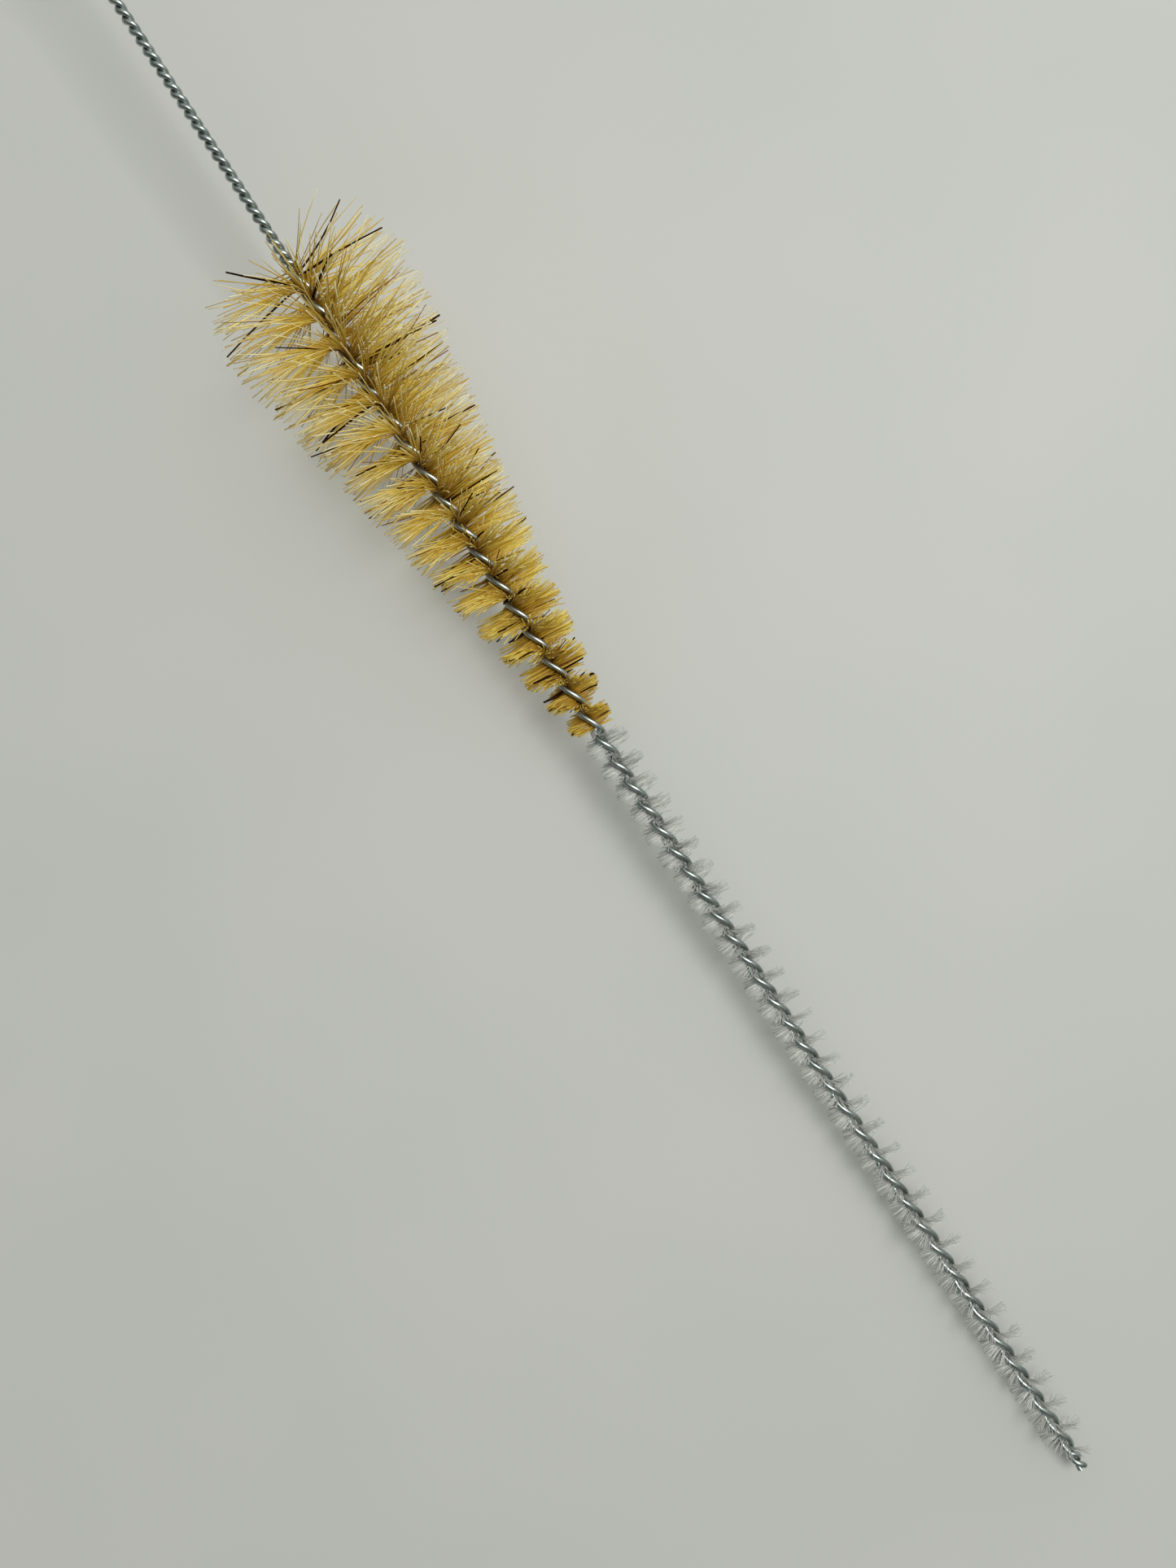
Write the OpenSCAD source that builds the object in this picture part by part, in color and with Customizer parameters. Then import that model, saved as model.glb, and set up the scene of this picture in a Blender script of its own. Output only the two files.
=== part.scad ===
// Bottle brush: one steel wire bent double into a hanging loop and twisted left-handed,
// with a cone of hog bristle and a slim run of nylon filament caught between its strands.
// The brush lies on the plane z = 0, resting on the wide end of the bristles and on the nylon
// near its tip. The wire runs along X, from the hanging loop to the cut tip.

/* [Wire] */
// Diameter of the wire
wire_d = 0.9; // [0.7:0.05:1.1]
// Length of the bare twisted stem
stem_len = 65; // [50:1:110]
// Length of one full turn of the stem
stem_pitch = 3.6; // [3.4:0.1:6]
// Length of the hanging loop
loop_len = 18; // [14:0.5:26]
// Width of the hanging loop between its wire centres
loop_w = 11; // [8:0.5:16]
// Length of the bare twisted tip
tip_len = 3.6; // [1.5:0.1:6]
// Length of one full turn of the tip
tip_pitch = 4.2; // [3.6:0.1:6]
// Running gap left between two strands that lie side by side
strand_gap = 0.1; // [0.08:0.01:0.16]

/* [Hog bristle] */
// Length of the bristle cone
bristle_len = 82.4; // [60:0.2:110]
// Diameter of the cone at the stem end
bristle_wide_d = 32.6; // [20:0.2:40]
// Diameter of the cone where the nylon starts
bristle_narrow_d = 6.8; // [6:0.1:12]
// Length of one full turn of the wire within the bristles
bristle_pitch = 9.9; // [7:0.1:14]
// Thickness of the bristle layer between the strands
bristle_layer = 0.35; // [0.2:0.05:0.6]
// Angle that each side of the layer fans out to at the wide end
wide_fan = 132; // [90:2:150]
// Angle that each side of the layer fans out to at the narrow end
narrow_fan = 84; // [50:2:110]
// How far the bristles give under the brush's weight
bristle_give = 0.8; // [0.4:0.1:1.5]

/* [Nylon filament] */
// Length of the nylon run
nylon_len = 138.6; // [80:0.2:170]
// Diameter of the nylon run
nylon_d = 7; // [5:0.1:9]
// Length of one full turn of the wire within the first half of the nylon
nylon_pitch = 8.1; // [6:0.1:11]
// Length of one full turn of the wire within the second half of the nylon
nylon_end_pitch = 9; // [6:0.1:11]
// Thickness of the nylon layer between the strands
nylon_layer = 0.2; // [0.15:0.05:0.4]
// Angle that each side of the nylon layer fans out to
nylon_fan = 28; // [16:2:40]
// How far the nylon gives under the brush's weight
nylon_give = 0.15; // [0.1:0.05:0.3]

/* [Hidden] */

// Clearance between a layer of filament and the strands that hold it
layer_clear = 0.14;
// Distance from the axis at which a layer starts to thicken
layer_root = 0.2;
// Distance over which the strands part at the ends of a layer
part_len = 3;
// Gap between the end of the bristles and the start of the nylon
layer_end_gap = 0.1;

// Facets: sides of the wire, and rings in each turn or round the loop
wire_sides = 6;
stem_rings = 6;
brush_rings = 6;
loop_rings = 28;
bristle_rings = 9;
nylon_rings = 8;
bristle_edges = 4;
nylon_edges = 1;

// Places along the wire: end of the stem, of the bristles, middle and end of the nylon, end of the wire
bristle_x = stem_len;
nylon_x = bristle_x + bristle_len;
nylon_mid_x = nylon_x + nylon_len / 2;
tip_x = nylon_x + nylon_len;
end_x = tip_x + tip_len;

// Each strand turns a flat side to the axis, and comes nearest to it halfway between two rings
wire_flat = wire_d * cos(180 / wire_sides);
stem_spread = (wire_flat + strand_gap) / 2 / cos(180 / stem_rings);
bristle_spread = (wire_flat + bristle_layer + 2 * layer_clear) / 2 / cos(180 / brush_rings);
nylon_spread = (wire_flat + nylon_layer + 2 * layer_clear) / 2 / cos(180 / brush_rings);

// Necks of the two layers: the bristles fan out only once they are clear of the strands
bristle_neck = [
    [layer_root, bristle_layer],
    [bristle_spread + wire_d / 2 + layer_clear, 2 * bristle_layer]
];
nylon_neck = [[layer_root, nylon_layer]];

// The loop's outline is sin(t) * sin(t / 2)^2, which is widest at t = 120
loop_swell = loop_w / 2 / (sin(120) * pow(sin(60), 2));

// Height of the wire at the two places that touch the ground, and the tilt that this gives
wide_h = bristle_wide_d / 2 - bristle_give;
tip_h = nylon_d / 2 - nylon_give;
tilt = atan((wide_h - tip_h) / (tip_x - bristle_x));

// Middle of the brush along X, so that the origin lies under it: each cut end is square to its
// strand, so it reaches past the end of the centre line by its slant
tip_slant = atan(2 * PI * stem_spread / tip_pitch);
mid_x = (end_x + wire_d / 2 * sin(tip_slant) - loop_len - wire_d / 2) / 2;

// Turns of the twist from the loop to each of these places
bristle_turns = stem_len / stem_pitch;
nylon_turns = bristle_turns + bristle_len / bristle_pitch;
nylon_mid_turns = nylon_turns + nylon_len / 2 / nylon_pitch;
tip_turns = nylon_mid_turns + nylon_len / 2 / nylon_end_pitch;
end_turns = tip_turns + tip_len / tip_pitch;

// Turn of the left-handed twist about the wire's axis at place x, in degrees
function turn(x) = -360 * lookup(x, [
    [0, 0],
    [bristle_x, bristle_turns],
    [nylon_x, nylon_turns],
    [nylon_mid_x, nylon_mid_turns],
    [tip_x, tip_turns],
    [end_x, end_turns]
]);

// Distance of each strand's centre from the wire's axis at place x
function spread(x) = lookup(x, [
    [bristle_x - part_len, stem_spread],
    [bristle_x, bristle_spread],
    [nylon_x, bristle_spread],
    [nylon_x + part_len, nylon_spread],
    [tip_x, nylon_spread],
    [end_x, stem_spread]
]);

// Height of the wire's axis above the ground at place x, square to the axis
function height(x) = tip_h + (tip_x - x) * tan(tilt);

// Even steps from a to b, about so many in each turn
function steps(a, b, pitch, per_turn) =
    let (count = max(2, ceil((b - a) / pitch * per_turn)))
    [for (i = [0 : count]) a + (b - a) * i / count];

// The same steps without the last one, for a run that others follow
function run(a, b, pitch, per_turn) =
    let (all = steps(a, b, pitch, per_turn))
    [for (i = [0 : len(all) - 2]) all[i]];

function unit(v) = v / norm(v);

// A point at distance r from the axis, in direction a
function around(x, r, a) = [x, r * cos(a), r * sin(a)];

// The same point, held above the ground that the brush rests on
function above_ground(x, r, a) =
    around(x, sin(a) < 0 ? min(r, height(x) / -sin(a)) : r, a);

// Centre line of a strand: side 0 is the first strand, side 180 the other
stations = concat(
    run(0, bristle_x, stem_pitch, stem_rings),
    run(bristle_x, nylon_x, bristle_pitch, brush_rings),
    run(nylon_x, nylon_mid_x, nylon_pitch, brush_rings),
    run(nylon_mid_x, tip_x, nylon_end_pitch, brush_rings),
    steps(tip_x, end_x, tip_pitch, brush_rings)
);
function strand(side) = [for (x = stations) around(x, spread(x), turn(x) + side)];
function strand_out(side) = [for (x = stations) around(0, 1, turn(x) + side)];

// Centre line of the hanging loop, from the first strand round to the other
loop_turns = [for (i = [1 : loop_rings - 1]) 360 * i / loop_rings];
function loop_point(t) = [
    -loop_len / 2 * (1 - cos(t)),
    stem_spread * cos(t / 2) + loop_swell * sin(t) * pow(sin(t / 2), 2),
    0
];
function loop_out(t) =
    let (along = loop_point(t + 1) - loop_point(t - 1))
    unit([along.y, -along.x, 0]);

function backwards(list) = [for (i = [len(list) - 1 : -1 : 0]) list[i]];

// Whole centre line, from one cut end round the loop to the other, and its outward side
wire_line = concat(
    backwards(strand(0)),
    [for (t = loop_turns) loop_point(t)],
    strand(180)
);
wire_out = concat(
    backwards(strand_out(0)),
    [for (t = loop_turns) loop_out(t)],
    strand_out(180)
);

// Ring of the wire's surface at point i of its centre line
function wire_ring(i) =
    let (
        last = len(wire_line) - 1,
        along = unit(wire_line[min(i + 1, last)] - wire_line[max(i - 1, 0)]),
        out = unit(wire_out[i] - (wire_out[i] * along) * along),
        across = cross(along, out)
    )
    [for (j = [0 : wire_sides - 1])
        let (a = 360 * (j + 0.5) / wire_sides)
        wire_line[i] + wire_d / 2 * (cos(a) * out + sin(a) * across)];

// One edge of a layer's neck: each step of the neck is a distance from the axis and a thickness
function neck_edge(x, neck, middle, edge) = [for (step = neck)
    around(x, norm([step[0], step[1] / 2]), middle + edge * atan(step[1] / 2 / step[0]))];

// One side of a filament layer: it leaves the strands by its neck and then fans out to radius r
function lobe(x, r, neck, fan, edges, side) =
    let (middle = turn(x) + 90 + side)
    concat(
        neck_edge(x, neck, middle, -1),
        [for (k = [0 : edges]) above_ground(x, r, middle + fan * (k / edges - 0.5))],
        backwards(neck_edge(x, neck, middle, 1))
    );

// Section of a filament layer at place x: two sides, joined by the flat core between them
function layer_ring(x, r, neck, fan, edges) =
    concat(lobe(x, r, neck, fan, edges, 0), lobe(x, r, neck, fan, edges, 180));

// Faces that close a layer's section: the core, then the fan and the neck of each side
function layer_ends(neck, edges) =
    let (m = len(neck), n = 2 * m + edges + 1)
    concat(
        [[0, n - 1, n, 2 * n - 1]],
        [for (s = [0, n]) [for (j = [m - 1 : m + edges + 1]) s + j]],
        [for (s = [0, n]) for (p = [0 : 1 : m - 2]) [s + p, s + p + 1, s + n - 2 - p, s + n - 1 - p]]
    );

// Radius and fan of the bristle cone at place x
function bristle_r(x) = lookup(x, [[bristle_x, bristle_wide_d / 2], [nylon_x, bristle_narrow_d / 2]]);
function bristle_fan(x) = lookup(x, [[bristle_x, wide_fan], [nylon_x, narrow_fan]]);

// Places of the rings of each layer
bristle_stations = steps(bristle_x, nylon_x - layer_end_gap, bristle_pitch, bristle_rings);
nylon_stations = concat(
    run(nylon_x, nylon_mid_x, nylon_pitch, nylon_rings),
    steps(nylon_mid_x, tip_x, nylon_end_pitch, nylon_rings)
);

// Solid through a row of rings, closed by the given faces of its first and last ring
module loft(rings, ends) {
    sides = len(rings[0]);
    last = len(rings) - 1;
    walls = [for (i = [0 : last - 1]) for (j = [0 : sides - 1])
        let (a = i * sides + j, b = i * sides + (j + 1) % sides)
        each [[a, b + sides, b], [a, a + sides, b + sides]]];
    far_ends = [for (face = ends) [for (j = backwards(face)) last * sides + j]];
    polyhedron([for (ring = rings) each ring], concat(walls, ends, far_ends), convexity = 20);
}

// Lays the brush down: the wire's axis tilts until both ends touch the ground
module at_rest() {
    translate([-mid_x * cos(tilt), 0, (tip_h + tip_x * tan(tilt)) * cos(tilt)])
        rotate([0, tilt, 0])
            children();
}

module twisted_wire() {
    color("#8f9596")
        at_rest()
            loft([for (i = [0 : len(wire_line) - 1]) wire_ring(i)], [[for (j = [0 : wire_sides - 1]) j]]);
}

module hog_bristle() {
    color("#cfae62")
        at_rest()
            loft([for (x = bristle_stations)
                layer_ring(x, bristle_r(x), bristle_neck, bristle_fan(x), bristle_edges)],
                layer_ends(bristle_neck, bristle_edges));
}

module nylon_filament() {
    color("#d9dcda")
        at_rest()
            loft([for (x = nylon_stations) layer_ring(x, nylon_d / 2, nylon_neck, nylon_fan, nylon_edges)],
                layer_ends(nylon_neck, nylon_edges));
}

twisted_wire();
hog_bristle();
nylon_filament();
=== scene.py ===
# Bottle brush on a plain pale floor: the twisted wire, every bristle and every filament.
import math

import bpy
import numpy as np
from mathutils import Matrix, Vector


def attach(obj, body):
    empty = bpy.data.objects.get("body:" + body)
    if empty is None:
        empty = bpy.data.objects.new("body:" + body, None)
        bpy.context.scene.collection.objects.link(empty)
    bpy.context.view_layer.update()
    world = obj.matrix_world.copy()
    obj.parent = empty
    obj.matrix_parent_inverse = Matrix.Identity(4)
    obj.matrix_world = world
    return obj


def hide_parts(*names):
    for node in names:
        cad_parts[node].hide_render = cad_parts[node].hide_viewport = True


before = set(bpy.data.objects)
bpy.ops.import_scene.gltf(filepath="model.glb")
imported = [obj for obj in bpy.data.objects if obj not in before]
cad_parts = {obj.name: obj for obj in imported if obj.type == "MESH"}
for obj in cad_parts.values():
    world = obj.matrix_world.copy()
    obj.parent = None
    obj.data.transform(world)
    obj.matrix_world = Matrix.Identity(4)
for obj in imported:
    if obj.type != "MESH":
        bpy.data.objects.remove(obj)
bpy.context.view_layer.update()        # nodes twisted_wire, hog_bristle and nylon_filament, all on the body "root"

MM = 0.001
SEED = 11

# Sizes of the brush in mm, as in the part's source
WIRE_D = 0.9
STEM_LEN = 65.0
STEM_PITCH = 3.6
LOOP_LEN = 18.0
LOOP_W = 11.0
TIP_LEN = 3.6
TIP_PITCH = 4.2
BRISTLE_LEN = 82.4
BRISTLE_WIDE_D = 32.6
BRISTLE_PITCH = 9.9
BRISTLE_GIVE = 0.8
NYLON_LEN = 138.6
NYLON_D = 7.0
NYLON_PITCH = 8.1
NYLON_END_PITCH = 9.0
NYLON_GIVE = 0.15

# Places along the wire, and the turns of its twist up to each of them
BRISTLE_X = STEM_LEN
NYLON_X = BRISTLE_X + BRISTLE_LEN
NYLON_MID_X = NYLON_X + NYLON_LEN / 2
TIP_X = NYLON_X + NYLON_LEN
END_X = TIP_X + TIP_LEN
SNIP_LEN = 1.0    # the wire is drawn this much too long and then snipped off
STATIONS = [0.0, BRISTLE_X, NYLON_X, NYLON_MID_X, TIP_X, END_X + SNIP_LEN]
TURNS = np.cumsum([
    0.0,
    STEM_LEN / STEM_PITCH,
    BRISTLE_LEN / BRISTLE_PITCH,
    NYLON_LEN / 2 / NYLON_PITCH,
    NYLON_LEN / 2 / NYLON_END_PITCH,
    (TIP_LEN + SNIP_LEN) / TIP_PITCH,
])

# Distance of each strand's centre from the axis: touching in the stem, parted by the filaments
STEM_SPREAD = 0.46
BRISTLE_SPREAD = 0.75
NYLON_SPREAD = 0.68
PART_LEN = 3.0    # length over which the strands part

# How the brush lies: the axis falls from the wide end of the bristles to the nylon near the tip
WIDE_H = BRISTLE_WIDE_D / 2 - BRISTLE_GIVE
TIP_H = NYLON_D / 2 - NYLON_GIVE
TILT = math.atan((WIDE_H - TIP_H) / (TIP_X - BRISTLE_X))
LIFT = (TIP_H + TIP_X * math.tan(TILT)) * math.cos(TILT)
TIP_SLANT = math.atan(2 * math.pi * STEM_SPREAD / TIP_PITCH)
MID_X = (END_X + WIRE_D / 2 * math.sin(TIP_SLANT) - LOOP_LEN - WIRE_D / 2) / 2

# Camera at the photograph's viewing angle: straight above, turned about the vertical
IMAGE_H = 1927
FOCAL_PX = 1448
SENSOR_H = 36.0
CAMERA_MM = (18.27, -5.66, 192.56)
CAMERA_TURN = 56.5


def twist(x):
    """Turn of the left-handed twist at place x, from +Y towards +Z, in radians."""
    return -2 * math.pi * np.interp(x, STATIONS, TURNS)


def spread(x):
    """Distance of each strand's centre from the axis at place x."""
    places = [BRISTLE_X - PART_LEN, BRISTLE_X, NYLON_X, NYLON_X + PART_LEN, TIP_X, END_X]
    values = [STEM_SPREAD, BRISTLE_SPREAD, BRISTLE_SPREAD, NYLON_SPREAD, NYLON_SPREAD, STEM_SPREAD]
    return np.interp(x, places, values)


def around(x, r, angle):
    """Points at distance r from the straight axis, in direction angle."""
    return np.stack([x, r * np.cos(angle), r * np.sin(angle)], -1)


def laid(points):
    """Points of the straight brush, in mm, where they lie on the floor, in metres."""
    x, y, z = points[..., 0] - MID_X, points[..., 1], points[..., 2]
    across = x * math.cos(TILT) + z * math.sin(TILT)
    up = z * math.cos(TILT) - (x + MID_X) * math.sin(TILT) + LIFT
    return np.stack([across, y, up], -1) * MM


def graded(ends, wide):
    """A value between its narrow end, where wide is 0, and its wide end, where wide is 1."""
    narrow_end, wide_end = ends
    return narrow_end + (wide_end - narrow_end) * wide


def linear(hex_colour):
    """An sRGB hex colour as a linear RGBA colour."""
    parts = [int(hex_colour[i:i + 2], 16) / 255 for i in (1, 3, 5)]
    return [c / 12.92 if c <= 0.04045 else ((c + 0.055) / 1.055) ** 2.4 for c in parts] + [1.0]


def add_node(tree, kind, inputs=None, ramp=None, **settings):
    """Adds a node: each input is a value or the output that it is linked to."""
    node = tree.nodes.new(kind)
    for name, value in settings.items():
        setattr(node, name, value)
    for name, value in (inputs or {}).items():
        if isinstance(value, bpy.types.NodeSocket):
            tree.links.new(value, node.inputs[name])
        else:
            node.inputs[name].default_value = value
    for i, (place, colour) in enumerate(ramp or []):
        stops = node.color_ramp.elements
        stop = stops[i] if i < 2 else stops.new(place)
        stop.position = place
        stop.color = linear(colour)
    return node


def new_material(name):
    """An empty node material, its tree and its shader."""
    material = bpy.data.materials.new(name)
    material.use_nodes = True
    tree = material.node_tree
    return material, tree, tree.nodes["Principled BSDF"]


def galvanised_wire():
    """Drawn steel wire with a zinc coat: satin bright, a little blue-grey, mottled by the zinc."""
    material, tree, shader = new_material("galvanised_drawn_wire")
    mottle_mm = 1.6
    scratch_mm = 0.25
    place = add_node(tree, "ShaderNodeTexCoord").outputs["Object"]
    mottle = add_node(tree, "ShaderNodeTexNoise", {
        "Vector": place, "Scale": 1 / (mottle_mm * MM), "Detail": 3.0, "Roughness": 0.6})
    colour = add_node(tree, "ShaderNodeValToRGB", {"Fac": mottle.outputs["Fac"]}, ramp=[
        (0.3, "#8b9591"), (0.7, "#b7bfba")])
    gloss = add_node(tree, "ShaderNodeMapRange", {
        "Value": mottle.outputs["Fac"], "From Min": 0.3, "From Max": 0.7, "To Min": 0.36, "To Max": 0.24})
    scratch = add_node(tree, "ShaderNodeTexNoise", {
        "Vector": place, "Scale": 1 / (scratch_mm * MM), "Detail": 2.0})
    bump = add_node(tree, "ShaderNodeBump", {
        "Height": scratch.outputs["Fac"], "Strength": 0.15, "Distance": 0.02 * MM})
    tree.links.new(colour.outputs["Color"], shader.inputs["Base Color"])
    tree.links.new(gloss.outputs["Result"], shader.inputs["Roughness"])
    tree.links.new(bump.outputs["Normal"], shader.inputs["Normal"])
    shader.inputs["Metallic"].default_value = 1.0
    return material


def bristle_material(name, root, middle, tip, shade, clear, sheen):
    """Hog bristle: U runs along the hair from the root, darker amber as painted shade deep in the cone by the
    wire, through the hair's own gold to the tip, pale as painted light let through the clear hair; V is each
    hair's own shade.
    """
    material, tree, shader = new_material(name)
    hair = add_node(tree, "ShaderNodeSeparateXYZ", {
        "Vector": add_node(tree, "ShaderNodeUVMap", uv_map="hair").outputs["UV"]})
    # Painted shade and light: the darker amber root stop stands for the shade deep in the cone, and the pale tip
    # stop stands for light let through the clear hair.
    along = add_node(tree, "ShaderNodeValToRGB", {"Fac": hair.outputs["X"]}, ramp=[
        (0.0, root), (1.0, tip), (0.45, middle)])
    own = add_node(tree, "ShaderNodeMix", {
        0: hair.outputs["Y"], 6: along.outputs["Color"], 7: linear(shade)},
        data_type="RGBA", blend_type="MULTIPLY")
    tree.links.new(own.outputs[2], shader.inputs["Base Color"])
    shader.inputs["Roughness"].default_value = 0.4
    shader.inputs["IOR"].default_value = 1.54
    shader.inputs["Specular IOR Level"].default_value = sheen
    shader.inputs["Transmission Weight"].default_value = clear
    return material


def clear_nylon():
    """Clear nylon monofilament: drawn smooth, so it glints and lets the floor show through."""
    material, tree, shader = new_material("clear_nylon_monofilament")
    hair = add_node(tree, "ShaderNodeSeparateXYZ", {
        "Vector": add_node(tree, "ShaderNodeUVMap", uv_map="hair").outputs["UV"]})
    colour = add_node(tree, "ShaderNodeValToRGB", {"Fac": hair.outputs["Y"]}, ramp=[
        (0.0, "#d0d3cc"), (1.0, "#e6e8e2")])
    tree.links.new(colour.outputs["Color"], shader.inputs["Base Color"])
    shader.inputs["Roughness"].default_value = 0.12
    shader.inputs["IOR"].default_value = 1.53
    shader.inputs["Transmission Weight"].default_value = 0.42
    return material


def pale_floor():
    """Painted table top: matt pale grey, a little uneven."""
    material, tree, shader = new_material("painted_table_top")
    cloud_mm = 60
    place = add_node(tree, "ShaderNodeTexCoord").outputs["Object"]
    cloud = add_node(tree, "ShaderNodeTexNoise", {
        "Vector": place, "Scale": 1 / (cloud_mm * MM), "Detail": 2.0})
    colour = add_node(tree, "ShaderNodeValToRGB", {"Fac": cloud.outputs["Fac"]}, ramp=[
        (0.3, "#bcbeb8"), (0.7, "#c0c1bb")])
    tree.links.new(colour.outputs["Color"], shader.inputs["Base Color"])
    shader.inputs["Roughness"].default_value = 0.6
    return material


def select_only(piece=None):
    """Deselects everything, then selects one piece."""
    bpy.ops.object.select_all(action="DESELECT")
    if piece is not None:
        piece.select_set(True)
        bpy.context.view_layer.objects.active = piece


def stands_for(piece, node, material):
    """Dresses a finished piece and puts it in the place of a CAD node."""
    piece.data.materials.clear()
    piece.data.materials.append(material)
    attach(piece, "root")
    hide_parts(node)


# How finely the wire is drawn, and how its loop joins the twist
RINGS_PER_TURN = 24
LOOP_RINGS = 72
WIRE_BEVEL = 4
JOIN_RINGS = 14
JOIN_PASSES = 40
LOOP_WIDEST = math.radians(120)    # how far round the loop it is widest
CUT_EDGE = math.radians(40)        # edges sharper than this stay sharp, as the snipped ends' do


def wire_line():
    """Centre line of the wire, from one cut end round the hanging loop to the other."""
    turns = np.linspace(0, TURNS[-1], int(TURNS[-1] * RINGS_PER_TURN))
    x = np.interp(turns, TURNS, STATIONS)
    first = around(x, spread(x), twist(x))
    other = around(x, spread(x), twist(x) + math.pi)
    t = np.linspace(0, 2 * math.pi, LOOP_RINGS)[1:-1]
    swell = LOOP_W / 2 / (math.sin(LOOP_WIDEST) * math.sin(LOOP_WIDEST / 2) ** 2)
    loop = np.stack([
        -LOOP_LEN / 2 * (1 - np.cos(t)),
        STEM_SPREAD * np.cos(t / 2) + swell * np.sin(t) * np.sin(t / 2) ** 2,
        np.zeros_like(t)], -1)
    line = np.concatenate([first[::-1], loop, other])
    for join in (len(first), len(first) + len(loop)):
        ease = slice(join - JOIN_RINGS, join + JOIN_RINGS)
        before = slice(join - JOIN_RINGS - 1, join + JOIN_RINGS - 1)
        after = slice(join - JOIN_RINGS + 1, join + JOIN_RINGS + 1)
        for _ in range(JOIN_PASSES):
            line[ease] = (line[before] + line[after]) / 2
    return line


def make_wire():
    """The wire: a round section swept along its centre line, both ends snipped square across the twist."""
    select_only()
    bpy.ops.curve.primitive_bezier_curve_add()
    wire = bpy.context.object
    wire.name = "wire"
    curve = wire.data
    curve.splines.clear()
    points = laid(wire_line())
    spline = curve.splines.new("POLY")
    spline.points.add(len(points) - 1)
    spline.points.foreach_set("co", np.c_[points, np.ones(len(points))].ravel())
    curve.dimensions = "3D"
    curve.bevel_depth = WIRE_D / 2 * MM
    curve.bevel_resolution = WIRE_BEVEL
    curve.use_fill_caps = True
    bpy.ops.object.convert(target="MESH")
    bpy.ops.object.mode_set(mode="EDIT")
    bpy.ops.mesh.select_all(action="SELECT")
    bpy.ops.mesh.bisect(plane_co=laid(np.array([END_X, 0.0, 0.0])), use_fill=True, clear_outer=True,
                        plane_no=(math.cos(TILT), 0, -math.sin(TILT)))
    bpy.ops.object.mode_set(mode="OBJECT")
    bpy.ops.object.shade_smooth_by_angle(angle=CUT_EDGE)
    stands_for(wire, "twisted_wire", galvanised_wire())


FILAMENT_EDGE = math.radians(100)    # a filament's few sides are smoothed into a round


def one_filament(sides, cuts, taper):
    """One straight filament along Z, of length 1 and radius 1, as its points and faces."""
    select_only()
    bpy.ops.mesh.primitive_cone_add(vertices=sides, radius1=1, radius2=taper, depth=1, location=(0, 0, 0.5))
    bpy.ops.object.transform_apply(location=True, rotation=False, scale=False)
    pattern = bpy.context.object
    bpy.ops.object.mode_set(mode="EDIT")
    bpy.ops.mesh.select_mode(type="EDGE")
    bpy.ops.mesh.select_all(action="DESELECT")
    bpy.ops.object.mode_set(mode="OBJECT")
    points = [v.co for v in pattern.data.vertices]
    for edge in pattern.data.edges:
        a, b = edge.vertices
        edge.select = abs(points[a].z - points[b].z) > 0.5
    bpy.ops.object.mode_set(mode="EDIT")
    bpy.ops.mesh.subdivide(number_cuts=cuts)
    bpy.ops.object.mode_set(mode="OBJECT")
    points = np.array([v.co for v in pattern.data.vertices])
    faces = [list(f.vertices) for f in pattern.data.polygons]
    bpy.data.objects.remove(pattern)
    return points, faces


def plant(name, pattern, hairs):
    """One mesh of many filaments: each is the pattern, bent and laid from its root to its tip."""
    points, faces = pattern
    count, size = len(hairs["x"]), len(points)
    along = points[:, 2]
    angle, lean, length = hairs["angle"], hairs["lean"], hairs["length"]
    ray = np.stack([-np.sin(lean), np.cos(lean) * np.cos(angle), np.cos(lean) * np.sin(angle)], -1)
    side = np.stack([np.zeros(count), -np.sin(angle), np.cos(angle)], -1)
    across = np.cross(ray, side)
    root = np.stack([hairs["x"], hairs["offset"] * side[:, 1], hairs["offset"] * side[:, 2]], -1)
    reach = length[:, None] * along
    curl = hairs["curl"][:, None] * length[:, None] * along ** 2
    sway = hairs["sway"][:, None] * length[:, None] * along ** 2
    line = root[:, None] + reach[..., None] * ray[:, None]
    line = line + curl[..., None] * side[:, None] + sway[..., None] * across[:, None]
    thick = hairs["radius"][:, None, None]
    section = points[None, :, 0, None] * side[:, None] + points[None, :, 1, None] * across[:, None]
    placed = laid(line)
    placed[..., 2] = np.maximum(placed[..., 2], hairs["radius"][:, None] * MM)
    tilted = section.copy()
    tilted[..., 0] = section[..., 0] * math.cos(TILT) + section[..., 2] * math.sin(TILT)
    tilted[..., 2] = section[..., 2] * math.cos(TILT) - section[..., 0] * math.sin(TILT)
    placed = placed + tilted * thick * MM
    mesh = bpy.data.meshes.new(name)
    all_faces = [[v + size * i for v in face] for i in range(count) for face in faces]
    mesh.from_pydata(placed.reshape(-1, 3).tolist(), [], all_faces)
    corner = np.zeros(len(mesh.loops), int)
    mesh.loops.foreach_get("vertex_index", corner)
    # U runs along the hair, scaled down on short hairs so that only long ones reach the painted light of the pale
    # tip colour and short ones stay in the painted shade near the root
    uv = np.stack([along[corner % size] * hairs["pale"][corner // size], hairs["tone"][corner // size]], -1)
    mesh.uv_layers.new(name="hair").data.foreach_set("uv", uv.ravel())
    piece = bpy.data.objects.new(name, mesh)
    bpy.context.scene.collection.objects.link(piece)
    select_only(piece)
    bpy.ops.object.shade_smooth_by_angle(angle=FILAMENT_EDGE)
    return piece


# Hog bristles in mm, and the outline that they are trimmed to, counted from the stem end
BRISTLE_R = 0.11
DARK_BRISTLE_R = 0.18
BRISTLE_ROOT = 0.15         # roots lie this far to either side of the axis
BRISTLE_CROWD = 0.85        # below 1, bristles crowd a little towards the narrow end
CONE_PLACES = [0.0, 3.6, 7.2, BRISTLE_LEN]
CONE_RADII = [14.4, 15.9, 16.7, 3.65]

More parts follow.
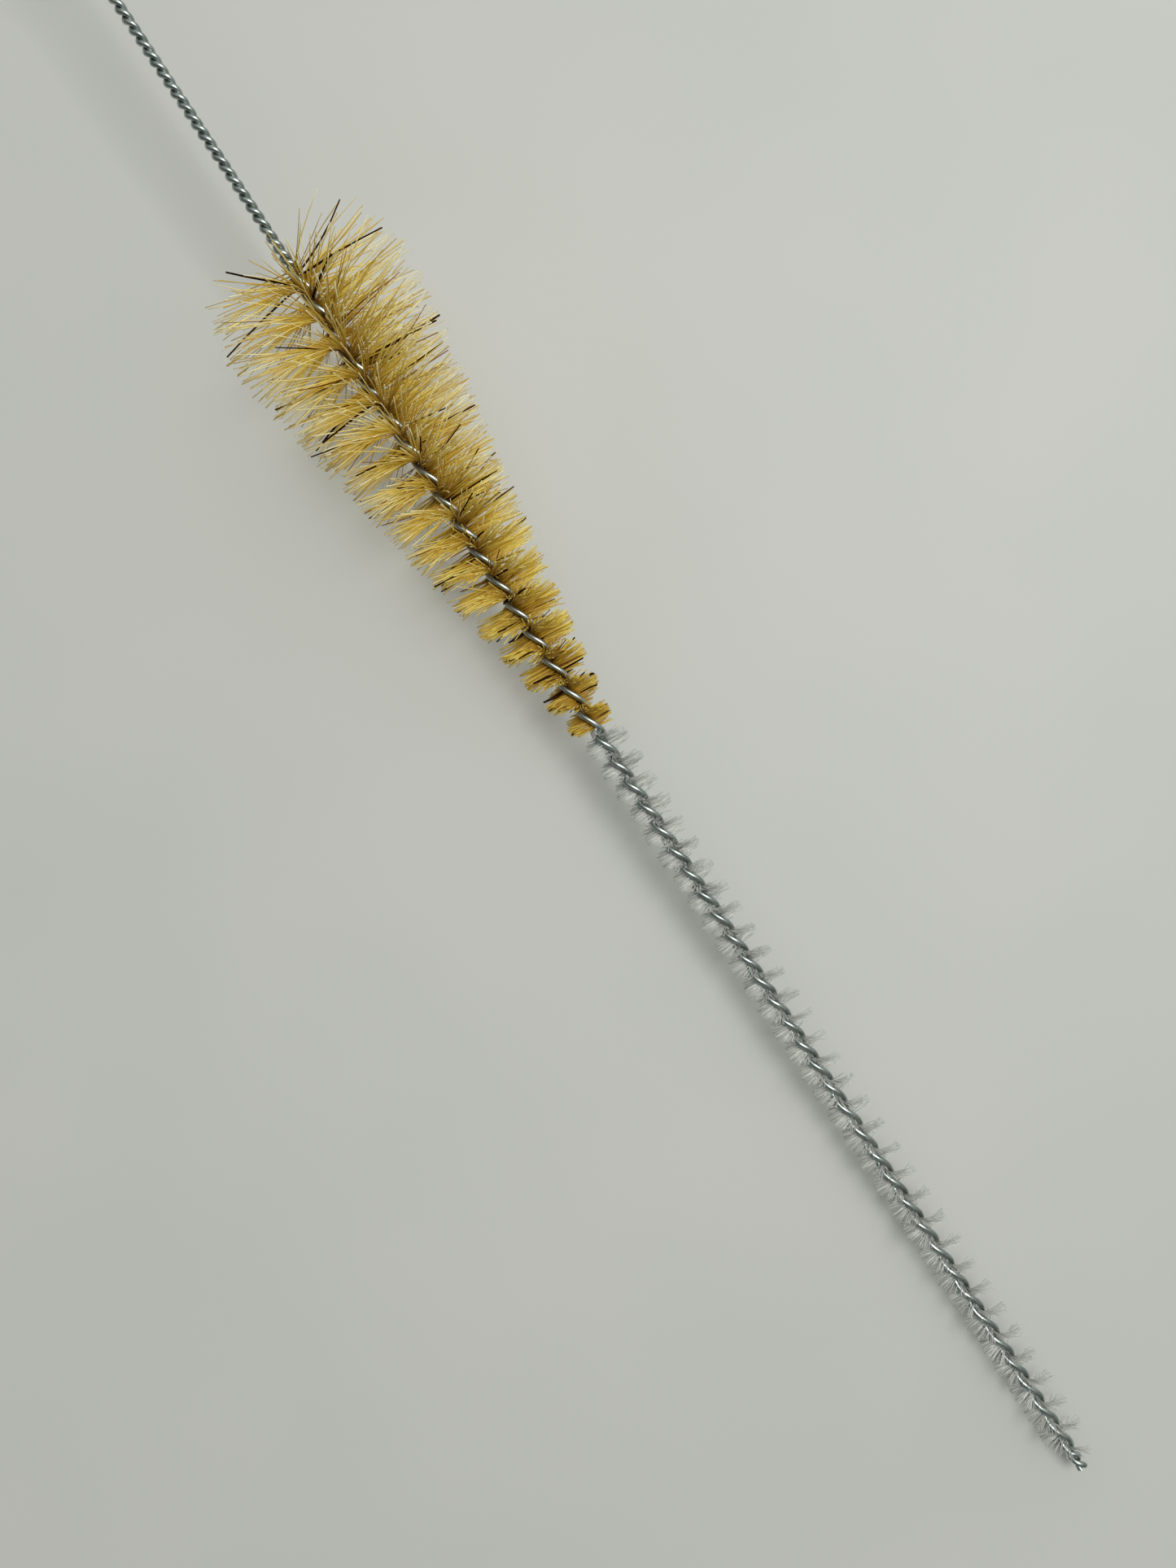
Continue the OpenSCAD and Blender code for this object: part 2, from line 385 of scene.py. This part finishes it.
# Scatter of the bristles, at the narrow end and at the wide end of the cone
SPIN_DEG = (9, 16)
LEAN_DEG = (5, 7.5)
TRIM_LOSS = (0.09, 0.04)
BEND = (0.03, 0.055)

# The first bristles lean towards the stem, and a few of them stray
FIRST_LEN = 10
FIRST_LEAN_DEG = 6
STRAY_LEN = 8.0
STRAY_SHARE = 0.08
STRAY_LEAN_DEG = (10, 35)
STRAY_REACH = 0.8

# Some bristles are short; long ones reach the pale tip colour, painted light let through them, while short ones
# stay nearer the darker root colour, painted shade
SHORT_SHARE = 0.1
SHORT_TRIM = (0.7, 0.97)
PAINTED_LIGHT_LEN = 12.0
PAINTED_LIGHT_LEAST = 0.35
THICKNESS = (0.75, 1.2)


def cone_radius(x):
    """Radius that the bristles are trimmed to at place x."""
    return np.interp(x - BRISTLE_X, CONE_PLACES, CONE_RADII)


def hog_hairs(rng, count, radius):
    """Bristles of the cone: they leave the wire between its strands and spread as they go out."""
    x = BRISTLE_X + BRISTLE_LEN * rng.uniform(0, 1, count) ** BRISTLE_CROWD
    wide = (NYLON_X - x) / BRISTLE_LEN
    side = rng.integers(0, 2, count) * math.pi
    spin = np.radians(graded(SPIN_DEG, wide))
    first = np.clip(1 - (x - BRISTLE_X) / FIRST_LEN, 0, 1)
    lean = np.radians(FIRST_LEAN_DEG * first + rng.normal(0, graded(LEAN_DEG, wide)))
    stray = (x < BRISTLE_X + STRAY_LEN) & (rng.uniform(0, 1, count) < STRAY_SHARE)
    lean[stray] += np.radians(rng.uniform(*STRAY_LEAN_DEG, stray.sum()))
    trim = 1 - np.abs(rng.normal(0, 1, count)) * graded(TRIM_LOSS, wide)
    short = rng.uniform(0, 1, count) < SHORT_SHARE
    trim[short] *= rng.uniform(*SHORT_TRIM, short.sum())
    tip_x = x - cone_radius(x) * np.sin(lean)
    length = cone_radius(tip_x) * np.where(stray, STRAY_REACH, 1 / np.cos(lean)) * trim
    return {
        "x": x,
        "angle": twist(x) + math.pi / 2 + side + rng.normal(0, 1, count) * spin,
        "lean": lean,
        "length": length,
        # painted light and shade: long hairs reach the pale tip colour, short ones stay near the darker root
        # colour
        "pale": np.clip(length / PAINTED_LIGHT_LEN, PAINTED_LIGHT_LEAST, 1),
        "offset": rng.uniform(-BRISTLE_ROOT, BRISTLE_ROOT, count),
        "curl": rng.normal(0, 1, count) * graded(BEND, wide),
        "sway": rng.normal(0, 1, count) * graded(BEND, wide),
        "radius": radius * rng.uniform(*THICKNESS, count),
        "tone": rng.uniform(0, 1, count),
    }


def make_bristles(rng):
    """The bristle cone: blond hairs, most so clear that they throw no shadow, and some dark ones."""
    pattern = one_filament(sides=4, cuts=3, taper=0.7)
    # The darker amber at the root is painted shade deep in the cone and the pale tip is painted light let through
    # the hair; the gold middle is the hair's own colour
    blond = ("#ba901a", "#f6e576", "#fffad2"), "#ccb158"
    # Name, count, radius, shadow, colours along the hair (root, middle, tip; on the blond and chestnut hairs the
    # darker root is painted shade and the paler tip painted light), darkest shade, clearness and sheen
    kinds = [
        ("blond_bristle", 150, BRISTLE_R, True, *blond, 0.2, 0.2),
        ("clear_blond_bristle", 3250, BRISTLE_R, False, *blond, 0.2, 0.2),
        ("chestnut_bristle", 80, BRISTLE_R, True, ("#6a3e16", "#84541f", "#b08040"), "#a5764a", 0.0, 0.1),
        ("black_bristle", 95, DARK_BRISTLE_R, True, ("#4a2a10", "#38200c", "#4a2c12"), "#8a6c50", 0.0, 0.0),
    ]
    for name, count, radius, shadow, colours, shade, clear, sheen in kinds:
        piece = plant(name, pattern, hog_hairs(rng, count, radius))
        piece.visible_shadow = shadow
        material = bristle_material(name, *colours, shade, clear, sheen)
        stands_for(piece, "hog_bristle", material)


# Nylon filaments in mm: where they start and end, how they bunch and how they scatter
NYLON_R = 0.05
NYLON_OFFSET = 0.4        # how far off centre the filaments are trimmed
NYLON_START_GAP = 0.4
NYLON_END_GAP = 0.2
NYLON_EDGE = 0.1
NYLON_FALL = 0.5          # share of the filaments' density that is lost by the end
NYLON_END_BUNCH = 0.45    # how far the filaments draw together into bunches at the end
NYLON_FACING = 0.5        # the direction that the bunches face, in radians
NYLON_ROOT = 0.1
NYLON_SPIN = math.radians(6)
NYLON_LEAN = math.radians(5)
NYLON_TRIM = 0.03
NYLON_BEND = 0.03


def nylon_hairs(rng, count):
    """Filaments of the slim tip: fewer towards the end, trimmed a little off centre."""
    share = rng.uniform(0, 1, count)
    place = (1 - np.sqrt(1 - share * NYLON_FALL * (2 - NYLON_FALL))) / NYLON_FALL
    x = NYLON_X + NYLON_START_GAP + (NYLON_LEN - NYLON_START_GAP - NYLON_END_GAP) * place
    bunch = NYLON_END_BUNCH * place * NYLON_END_PITCH / (4 * math.pi)
    x = x + bunch * np.sin(2 * (twist(x) + math.pi / 2) - 2 * NYLON_FACING)
    x = np.clip(x, NYLON_X + NYLON_EDGE, TIP_X)
    side = rng.integers(0, 2, count) * math.pi
    angle = twist(x) + math.pi / 2 + side + rng.normal(0, NYLON_SPIN, count)
    radius = NYLON_D / 2 + NYLON_OFFSET * np.cos(angle)
    return {
        "x": x,
        "angle": angle,
        "lean": rng.normal(0, NYLON_LEAN, count),
        "length": radius * (1 + rng.normal(0, NYLON_TRIM, count)),
        "pale": np.ones(count),
        "offset": rng.uniform(-NYLON_ROOT, NYLON_ROOT, count),
        "curl": rng.normal(0, NYLON_BEND, count),
        "sway": rng.normal(0, NYLON_BEND, count),
        "radius": np.full(count, NYLON_R),
        "tone": rng.uniform(0, 1, count),
    }


def make_nylon(rng):
    """The slim run of clear filaments: some let so much light through that they throw no shadow."""
    pattern = one_filament(sides=5, cuts=1, taper=1.0)
    material = clear_nylon()
    kinds = [("nylon_filaments", 1800, True), ("clear_nylon_filaments", 3000, False)]
    for name, count, shadow in kinds:
        piece = plant(name, pattern, nylon_hairs(rng, count))
        piece.visible_shadow = shadow
        stands_for(piece, "nylon_filament", material)


# Floor, lamp and room: sizes and places in metres
FLOOR_SIZE = 12.0
LAMP_SHARE = 0.6    # share of the floor's light that comes from the lamp
LAMP_PLACE = (-0.04, 0.34, 0.85)
LAMP_SIZE = 0.5
ROOM_SIDE = (-0.36, 0.52, 0.775)    # direction of the room's bright side
BRIGHT_SIDE = "#e0e1de"
MIDDLE_LIGHT = "#a0a2a0"
DARK_SIDE = "#565958"


def make_floor():
    """A plain pale floor under the brush."""
    select_only()
    bpy.ops.mesh.primitive_plane_add(size=FLOOR_SIZE, location=(0, 0, 0))
    floor = bpy.context.object
    floor.name = "floor"
    floor.data.materials.append(pale_floor())


def make_light():
    """One large soft lamp high on the brush's +Y side, and a pale room that darkens away from it."""
    way = Vector(LAMP_PLACE)
    select_only()
    bpy.ops.object.light_add(type="AREA", location=way, rotation=way.to_track_quat("Z", "Y").to_euler())
    lamp = bpy.context.object.data
    lamp.shape = "DISK"
    lamp.size = LAMP_SIZE
    lamp.energy = LAMP_SHARE * math.pi ** 2 * way.length ** 3 / way.z
    world = bpy.data.worlds.new("soft_room")
    world.use_nodes = True
    tree = world.node_tree
    side = add_node(tree, "ShaderNodeVectorMath", {
        0: add_node(tree, "ShaderNodeTexCoord").outputs["Generated"], 1: ROOM_SIDE}, operation="DOT_PRODUCT")
    room = add_node(tree, "ShaderNodeValToRGB", {"Fac": side.outputs["Value"]}, ramp=[
        (0.0, DARK_SIDE), (1.0, BRIGHT_SIDE), (0.5, MIDDLE_LIGHT)])
    tree.links.new(room.outputs["Color"], tree.nodes["Background"].inputs["Color"])
    bpy.context.scene.world = world


def make_camera():
    """The camera, close above the middle of the brush and looking straight down."""
    select_only()
    bpy.ops.object.camera_add(location=Vector(CAMERA_MM) * MM, rotation=(0, 0, math.radians(CAMERA_TURN)))
    camera = bpy.context.object
    camera.data.sensor_fit = "VERTICAL"
    camera.data.sensor_height = SENSOR_H
    camera.data.lens = FOCAL_PX * SENSOR_H / IMAGE_H
    camera.data.clip_start = 0.01
    bpy.context.scene.camera = camera


rng = np.random.default_rng(SEED)
make_camera()
make_wire()
make_bristles(rng)
make_nylon(rng)
make_floor()
make_light()
bpy.context.scene.view_settings.view_transform = "Standard"
